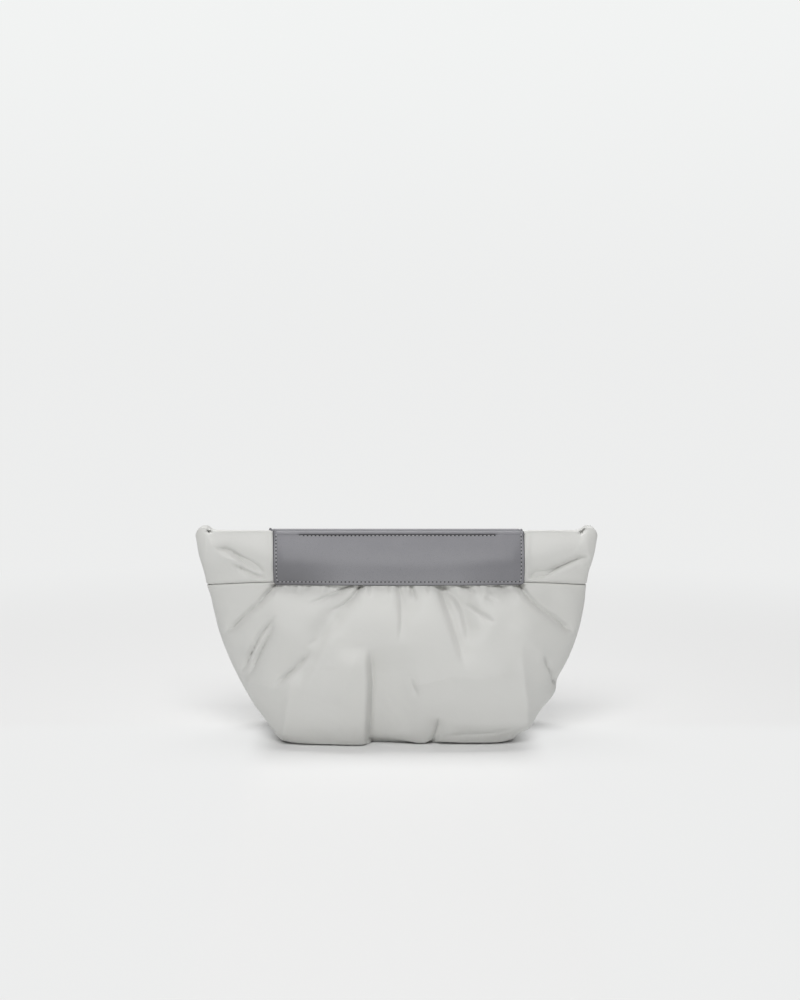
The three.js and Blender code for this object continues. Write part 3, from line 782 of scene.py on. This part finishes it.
across_shares = spread(
    (0, 0.006, 7), (0.006, 0.03, 11), (0.03, 0.97, 170), (0.97, 0.994, 11), (0.994, 1, 7))
up_front = spread((0, 0.02, 6), (0.02, 0.12, 12), (0.12, 0.85, 30), (0.85, 1, 22))
rim_angles = np.linspace(0, np.pi, 15)[1:]
down_inside = np.r_[np.linspace(0, INNER_LEG - 1, 14)[1:], INNER_LEG - 1 + spread((0, 1, 6))[1:]]


def cloth_depth(x, z):
    share = (z - band_foot(x)) / (band_top(x) - band_foot(x))
    width, depth, square = (through(BAND_SECTIONS, share, i) for i in (1, 2, 3))
    return depth * (1 - np.abs(x / width)**square)**(1 / square)


def panel_grid():
    columns = across_shares[None]
    fold = np.r_[up_front, np.ones(len(rim_angles) + len(down_inside))][:, None]
    left, right = (foot + (rim - foot) * fold for foot, rim in (LEFT_EDGE, RIGHT_EDGE))
    x = left + (right - left) * columns
    from_edge = np.minimum(x - left, right - x)
    corner = np.clip(1 - from_edge / PANEL_CORNER, 0, 1)
    bottom = PANEL_FOOT_Z + PANEL_CORNER * (1 - np.sqrt(1 - corner**2))
    top = band_top(x)
    front = slice(0, len(up_front))
    over = slice(front.stop, front.stop + len(rim_angles))
    inside = slice(over.stop, None)
    z, depth = top.copy(), np.empty_like(x)
    z[front] = bottom[front] + (top[front] - bottom[front]) * up_front[:, None]
    depth[front] = cloth_depth(x[front], np.maximum(z[front], band_foot(x[front])))
    middle = cloth_depth(x[over], top[over]) - CLOTH_WALL / 2
    z[over] += np.sin(rim_angles)[:, None] * CLOTH_WALL / 2
    depth[over] = middle + np.cos(rim_angles)[:, None] * CLOTH_WALL / 2
    z[inside] -= down_inside[:, None]
    depth[inside] = cloth_depth(x[inside], z[inside]) - CLOTH_WALL
    return np.stack([x, -depth, z], -1), from_edge


leather_on, from_side = panel_grid()
up_run = np.linalg.norm(np.diff(leather_on, axis=0, prepend=leather_on[:1]), axis=-1).cumsum(0)
from_end = np.minimum(up_run, up_run[-1] - up_run)
leather_out = np.cross(np.gradient(leather_on, axis=1), np.gradient(leather_on, axis=0))
leather_out /= np.linalg.norm(leather_out, axis=-1, keepdims=True)
print("panel grid", leather_on.shape[:2], "and", round(float(up_run[-1].mean()), 1), "mm along the fold")

# %% Thickness, channel and pressed line
CHANNEL_DEPTH, CHANNEL_HALF_WIDTH = 0.3, 0.7
LINE_DEPTH, LINE_HALF_WIDTH = 0.9, 0.8
EVEN_SWELL = 0.5
SWELLS = ((1.1, -70, 30), (0.9, 80, 24))  # height, place across and half width


def past(x, place):
    return ease(x, place - 1, place + 1)


edge = np.clip(np.minimum(from_side, from_end) / (LEATHER_THICK / 2), 0, 1)
half = LEATHER_THICK / 2 * np.sqrt(1 - (1 - edge)**2)
from_cut = np.minimum(from_side, up_run)
channel = CHANNEL_DEPTH * np.exp(-((from_cut - STITCH_INSET) / CHANNEL_HALF_WIDTH)**2)
x, z = leather_on[..., 0], leather_on[..., 2]
line_row = up_run[len(up_front) - 1][None]
ends = past(x, PRESSED_LINE[0]) * (1 - past(x, PRESSED_LINE[1]))
pressed_line = LINE_DEPTH * np.exp(-((up_run - line_row) / LINE_HALF_WIDTH)**4) * ends
wave = 0.25 * np.sin(x / 31 + 0.6) * np.sin(z / 17) + 0.15 * np.sin(x / 13 + z / 19)
swell = sum((height * np.exp(-((x - at) / width)**2) for height, at, width in SWELLS), EVEN_SWELL)
swell = swell * np.sin(np.pi * np.clip(up_run / line_row, 0, 1))**1.3
wave = wave * ease(from_cut, 3, 12) * (up_run < line_row) + swell * ease(from_cut, 0, 9)
face = SEWN_GAP + LEATHER_THICK / 2 + half - channel - pressed_line + wave
face_points = leather_on + leather_out * face[..., None]
back_points = leather_on + leather_out * (SEWN_GAP + LEATHER_THICK / 2 - half)[..., None]


def to_back(points):
    turned = points * (1, -1, 1)
    turned[..., 0] -= back_reach(turned[..., 0])
    return turned


def panel_object(name, side):
    rows, columns = leather_on.shape[:2]
    outer = np.arange(rows * columns).reshape(rows, columns)
    inner = outer.copy()
    inside = np.arange((rows - 2) * (columns - 2)).reshape(rows - 2, columns - 2)
    inner[1:-1, 1:-1] = rows * columns + inside
    faces = np.concatenate([grid_faces(outer), grid_faces(inner)[:, ::-1]])
    points = np.concatenate([face_points.reshape(-1, 3), back_points[1:-1, 1:-1].reshape(-1, 3)])
    if side > 0:
        points, faces = to_back(points), faces[:, ::-1]
    flat = np.stack([leather_on[..., 0], up_run], -1)
    threads = np.concatenate([flat.reshape(-1, 2), flat[1:-1, 1:-1].reshape(-1, 2)])
    made = piece(name, points, faces.tolist(), threads[faces.ravel()], LEATHER)
    # the distance that the material paints dark: real edge paint at the cut edges, painted shade along the
    # pressed line
    line_shade_distance = np.abs(up_run - line_row - LINE_SHADE) + 3 * (1 - ends)
    cut = np.minimum(np.minimum(from_side, from_end), line_shade_distance) * MM
    cut = np.concatenate([cut.ravel(), cut[1:-1, 1:-1].ravel()])
    distances = made.data.attributes.new(EDGE_PAINT_AND_SHADE_NAME, "FLOAT", "POINT")
    distances.data.foreach_set("value", cut.astype(np.float32))
    return made


front_leather = panel_object("front_leather", -1)
back_leather = panel_object("back_leather", 1)

# %% [markdown]
# ## Stitches
# A stitch is a short length of thread that lies on the leather between two needle holes. Hundreds of them
# repeat along a path, which is what Geometry Nodes are for: the tree below turns a line of edges into a
# curve, steps along it, puts a small pill at each step, turned along the seam and square to the leather,
# and makes the result a plain mesh. The same tree puts the holes half a stitch further on, as dark pills
# of painted shade. `Field` can wire this kind of tree too.

# %% The stitch tree
STITCH_SIZES = ("Pitch", "Length", "Width", "Height", "Shift", "Sink")
PILL = {"Segments": 8, "Rings": 5, "Radius": 0.5}
TURN = "FunctionNodeAlignRotationToVector"


def stitch_tree():
    tree = bpy.data.node_groups.new("stitch_row", "GeometryNodeTree")
    make = Field(tree).make
    kinds = {"Geometry": "NodeSocketGeometry", **dict.fromkeys(STITCH_SIZES, "NodeSocketFloat"),
             "Finish": "NodeSocketMaterial"}
    sockets = {name: tree.interface.new_socket(name, in_out="INPUT", socket_type=kind).identifier
               for name, kind in kinds.items()}
    tree.interface.new_socket("Geometry", in_out="OUTPUT", socket_type="NodeSocketGeometry")
    outputs = tree.nodes.new("NodeGroupInput").outputs
    given = {name: Field(tree, outputs[name]) for name in kinds}
    curve = make("GeometryNodeMeshToCurve", None, {"Mesh": given["Geometry"]})
    sockets_in = {"Curve": curve, "Length": given["Pitch"]}
    steps = make("GeometryNodeCurveToPoints", {"mode": "LENGTH"}, sockets_in, "Points")
    tangent = Field(tree, steps.socket.node.outputs["Tangent"])
    pill = make("GeometryNodeMeshUVSphere", None, PILL, "Mesh")
    size = make("ShaderNodeCombineXYZ", None, {0: given["Length"], 1: given["Width"], 2: given["Height"]})
    place = make("ShaderNodeCombineXYZ", None, {0: given["Shift"], 2: given["Sink"]})
    shape = make("GeometryNodeTransform", None, {"Geometry": pill, "Scale": size, "Translation": place})
    along = make(TURN, {"axis": "X"}, {"Vector": tangent})
    normal = make("GeometryNodeInputNamedAttribute", {"data_type": "FLOAT_VECTOR"}, {"Name": "out"})
    square = make(TURN, {"axis": "Z", "pivot_axis": "X"}, {"Rotation": along, "Vector": normal})
    sockets_in = {"Points": steps, "Instance": shape, "Rotation": square}
    copies = make("GeometryNodeInstanceOnPoints", None, sockets_in)
    real = make("GeometryNodeRealizeInstances", None, {0: copies})
    finish = make("GeometryNodeSetMaterial", None, {"Geometry": real, "Material": given["Finish"]})
    tree.links.new(finish.socket, tree.nodes.new("NodeGroupOutput").inputs[0])
    return tree, sockets


STITCH_TREE, STITCH_SOCKETS = stitch_tree()
print("stitch tree", len(STITCH_TREE.nodes), "nodes")

# %% [markdown]
# The paths lie on the leather's face: one goes down one side of a panel, along its lower edge and up the
# other side, and a short one runs below the pressed line.

# %% Stitch paths on the leather
PITCH = 2.9
SIDE_TOP_Z, UPPER_ROW_Z = 149.0, 148.4  # where the side rows end, and the height of the short row
STITCH_CORNER = 2.0
LEAN_HEIGHT = 38.0  # the sides of the panel lean out over this height


def sample(grid, row, column):
    r0 = np.clip(np.floor(row).astype(int), 0, grid.shape[0] - 2)
    c0 = np.clip(np.floor(column).astype(int), 0, grid.shape[1] - 2)
    fr, fc = (row - r0)[:, None], (column - c0)[:, None]
    low = grid[r0, c0] * (1 - fc) + grid[r0, c0 + 1] * fc
    high = grid[r0 + 1, c0] * (1 - fc) + grid[r0 + 1, c0 + 1] * fc
    return low * (1 - fr) + high * fr


def leather_path(x_at, z_at):
    x, z, n_up = leather_on[..., 0], leather_on[..., 2], len(up_front)
    column = np.interp(x_at, x[n_up // 2], np.arange(x.shape[1]))
    row = np.array([np.interp(zv, z[:n_up, int(round(c))], np.arange(n_up)) for zv, c in zip(z_at, column)])
    column = np.array([np.interp(xv, x[int(round(r))], np.arange(x.shape[1])) for xv, r in zip(x_at, row)])
    return sample(face_points, row, column), sample(leather_out, row, column)


def edge_path():
    low = PANEL_FOOT_Z + STITCH_INSET
    left, right = LEFT_EDGE[0] + STITCH_INSET, RIGHT_EDGE[0] - STITCH_INSET
    corner_left, corner_right, corner_z = left + STITCH_CORNER, right - STITCH_CORNER, low + STITCH_CORNER
    turn = np.linspace(0, np.pi / 2, 8)[1:-1]
    near, far = STITCH_CORNER * np.cos(turn), STITCH_CORNER * np.sin(turn)
    rise = np.linspace(SIDE_TOP_Z, corner_z, 30)
    lean_left = left + (LEFT_EDGE[1] - LEFT_EDGE[0]) * (rise - low) / LEAN_HEIGHT
    lean_right = right + (RIGHT_EDGE[1] - RIGHT_EDGE[0]) * (rise - low) / LEAN_HEIGHT
    along = np.linspace(corner_left, corner_right, 120)
    x_at = np.r_[lean_left, corner_left - near, along, corner_right + far, lean_right[::-1]]
    z_at = np.r_[rise, corner_z - far, np.full(len(along), low), corner_z - near, rise[::-1]]
    return leather_path(x_at, z_at)


def upper_path():
    x_at = np.linspace(PRESSED_LINE[0] + 3, PRESSED_LINE[1] - 3, 100)
    return leather_path(x_at, np.full(len(x_at), UPPER_ROW_Z))


def stitch_row(name, paths, side, sizes, finish):
    points, normals, edges = [], [], []
    for path, out_of in paths:
        first = len(points)
        points += ((path if side < 0 else to_back(path)) * MM).tolist()
        normals += (out_of * (1, -side, 1)).tolist()
        edges += [(first + i, first + i + 1) for i in range(len(path) - 1)]
    path_object = add_mesh(name + "_path", points, edges, [])
    outward = path_object.data.attributes.new("out", "FLOAT_VECTOR", "POINT")
    outward.data.foreach_set("vector", np.array(normals).ravel())
    modifier = path_object.modifiers.new("stitches", "NODES")
    modifier.node_group = STITCH_TREE
    for socket, size in zip(STITCH_SIZES, sizes):
        modifier[STITCH_SOCKETS[socket]] = size * MM
    modifier[STITCH_SOCKETS["Finish"]] = finish
    done = path_object.evaluated_get(bpy.context.evaluated_depsgraph_get())
    stitches = bpy.data.meshes.new_from_object(done)
    bpy.data.objects.remove(path_object)
    stitches.shade_smooth()
    stitches.name = name
    print(name, len(stitches.polygons), "faces")
    return add_object(name, stitches)


paths = [edge_path(), upper_path()]
stitch = (PITCH, 1.9, 0.75, 0.6, 0.0, 0.1)  # in the order of STITCH_SIZES
# the needle holes: dark pills of painted shade
hole = (PITCH, 1.3, 1.0, 0.24, PITCH / 2, 0.02)
sewn = []
for side_name, side in (("front", -1), ("back", 1)):
    sewn.append(stitch_row(side_name + "_stitches", paths, side, stitch, THREAD))
    sewn.append(stitch_row(side_name + "_hole_shade_pills", paths, side, hole, HOLE_SHADE))

# %% [markdown]
# ## Floor, light and air
# The bag stands on a pale sweep under two large soft lamps, with light from all round. The floor is a disc
# that turns into the colour of the air with distance, so that no edge shows from any side. Beside the
# front of the base it takes most of that colour too: painted fill light, which lightens the shadow there
# in place of the lights that fill a studio's shadows.

# %% Floor
AIR, FLOOR_TONE = (0.845, 0.85, 0.848, 1), (0.81, 0.811, 0.808, 1)
AIR_DISTANCE = (0.38, 1.05)  # the floor turns into air between these distances, in metres
PAINTED_FILL_ACROSS, PAINTED_FILL_BACK, PAINTED_FILL = (0.082, 0.112), (-0.01, 0.04), 0.85  # where the painted fill light lies, and how much of it


def floor_disc(radius=6.0, segments=96):
    points = [(radius * math.cos(a), radius * math.sin(a), -0.0002)
              for a in np.linspace(0, 2 * math.pi, segments, endpoint=False)]
    floor = add_mesh("floor", points, [], [tuple(range(segments))])
    material, place, shader = new_finish("pale_sweep", Roughness=0.8, Base_Color=FLOOR_TONE)
    distance = place.make("ShaderNodeVectorMath", {"operation": "LENGTH"}, {0: place}, 1)
    air = place.make("ShaderNodeEmission", None, {"Color": AIR})
    # painted fill light: beside the front of the base the floor takes the air's colour, which lightens its
    # shadow
    beside = place.part(0).math("ABSOLUTE").ease(*PAINTED_FILL_ACROSS) * (1 - place.part(1).ease(*PAINTED_FILL_BACK))
    share = distance.ease(*AIR_DISTANCE).math("MAXIMUM", beside * PAINTED_FILL)
    lit = Field(place.tree, shader.outputs[0])
    mixed = place.make("ShaderNodeMixShader", None, {0: share, 1: lit, 2: air})
    place.tree.links.new(mixed.socket, place.tree.nodes["Material Output"].inputs["Surface"])
    floor.data.materials.append(material)
    return floor


floor = floor_disc()
print("floor", len(floor.data.vertices), "points")

# %% Air and lamps
GLOW = 0.22
LAMPS = (  # name, place, width, depth, watts
    ("overhead", (-0.1, 0.9, 2.4), 1.6, 1.2, 38.0), ("key", (-0.15, -2.0, 2.3), 1.6, 1.5, 43.5))
world = bpy.data.worlds.new("studio")
scene.world = world
world.use_nodes = True
around = Field(world.node_tree)
seen = around.make("ShaderNodeLightPath", output="Is Camera Ray")
height = around.make("ShaderNodeTexCoord", output="Generated").part(2)
backdrop = height.ease(-0.02, 0.22).mix(AIR, (0.888, 0.9, 0.895, 1))
glow = around.make("ShaderNodeBackground", None, {"Color": (1, 1, 1, 1), "Strength": GLOW})
shown = around.make("ShaderNodeBackground", None, {"Color": backdrop, "Strength": 1.0})
whole = around.make("ShaderNodeMixShader", None, {0: seen, 1: glow, 2: shown})
world.node_tree.links.new(whole.socket, world.node_tree.nodes["World Output"].inputs["Surface"])
for name, place, width, depth, watts in LAMPS:
    lamp_data = bpy.data.lights.new(name, "AREA")
    lamp_data.shape = "RECTANGLE"
    lamp_data.size, lamp_data.size_y = width, depth
    lamp_data.energy = watts
    lamp = add_object(name, lamp_data)
    lamp.location = place
    lamp.rotation_euler = (Vector((0, 0, 0.05)) - lamp.location).to_track_quat("-Z", "Y").to_euler()
scene.view_settings.view_transform = "Standard"
print(len(LAMPS), "lamps and a glow of", GLOW)

# %% [markdown]
# ## Tie the pieces to the frame
# Every piece rides on the bag's one body, and each stands for the solid whose place it takes.

# %% Tie and finish
stands_for = ((gathered, "gathered_body", "cloth"), (yoke, "yoke_band", "cloth"),
              (front_leather, "front_panel", "leather"), (back_leather, "back_panel", "leather"))
for made, node, slot in stands_for:
    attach(made, "root")
    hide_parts(node)
for made in sewn:
    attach(made, "root")
